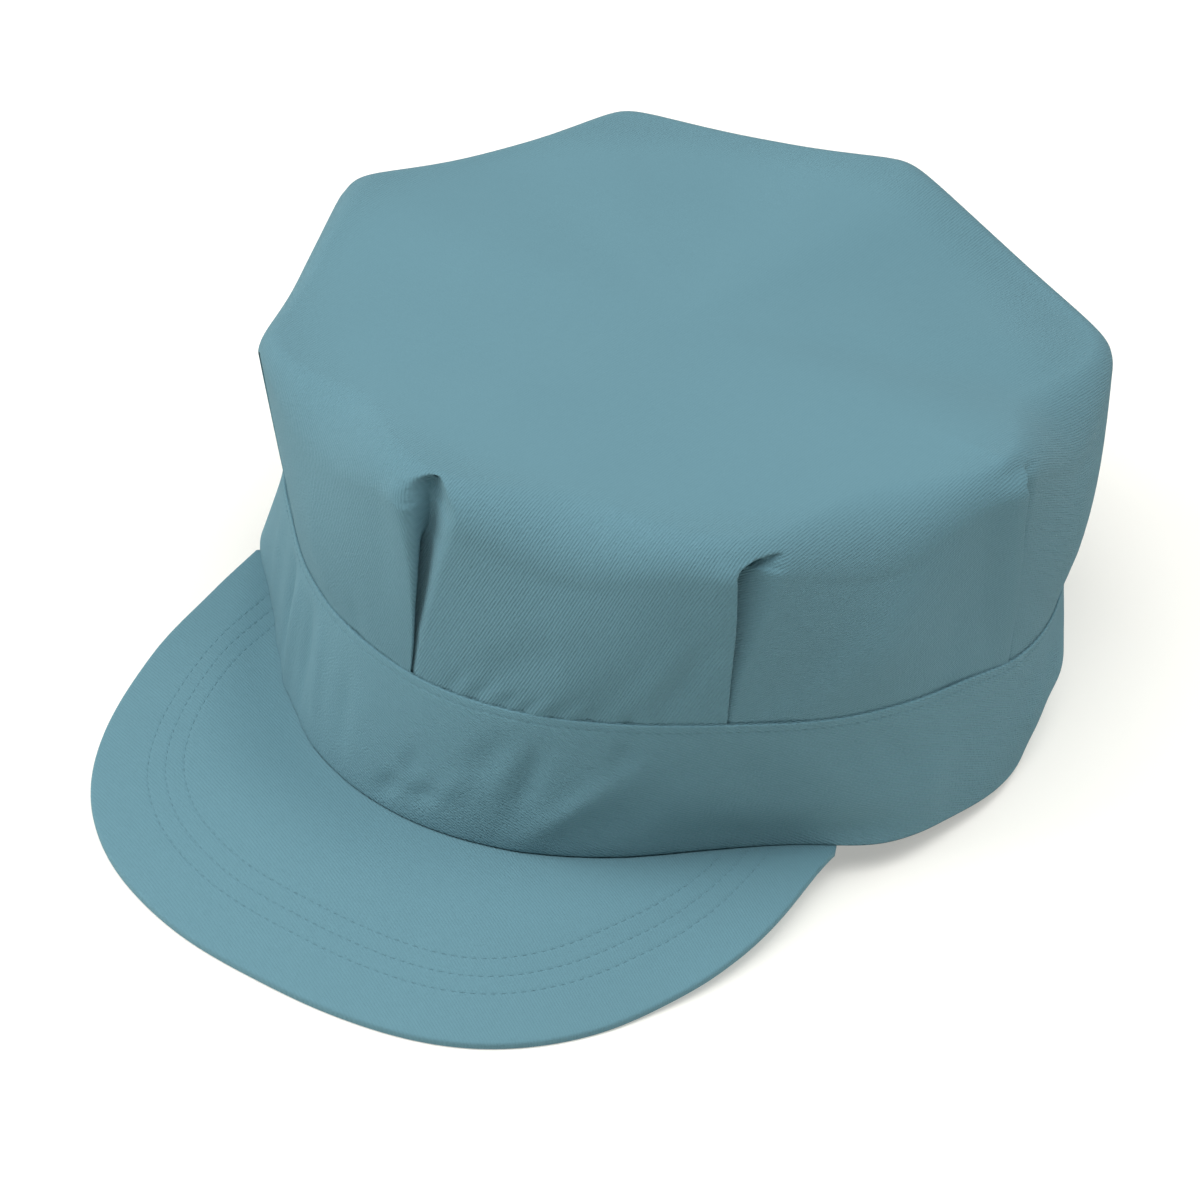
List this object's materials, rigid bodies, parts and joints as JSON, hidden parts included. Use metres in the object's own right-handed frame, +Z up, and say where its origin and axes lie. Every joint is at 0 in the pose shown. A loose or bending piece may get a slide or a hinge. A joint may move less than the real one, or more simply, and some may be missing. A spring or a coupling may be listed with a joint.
{
  "type": "eight panel cloth cap",
  "caption": "Soft cloth work cap with a flat octagonal top, pleated upright crown, plain band round the head opening and a stitched short peak in front",
  "frame": {"origin": "centre of the cap's outline, on the surface that it rests on", "axes": "peak towards -Y, +X to the wearer's left, +Z up"},
  "size_m": [0.1872, 0.2532, 0.1057],
  "materials": {
    "twill": "matte pale blue cotton twill"
  },
  "bodies": {
    "root": {"crown": "twill", "band": "twill", "peak": "twill"}
  },
  "joints": []
}
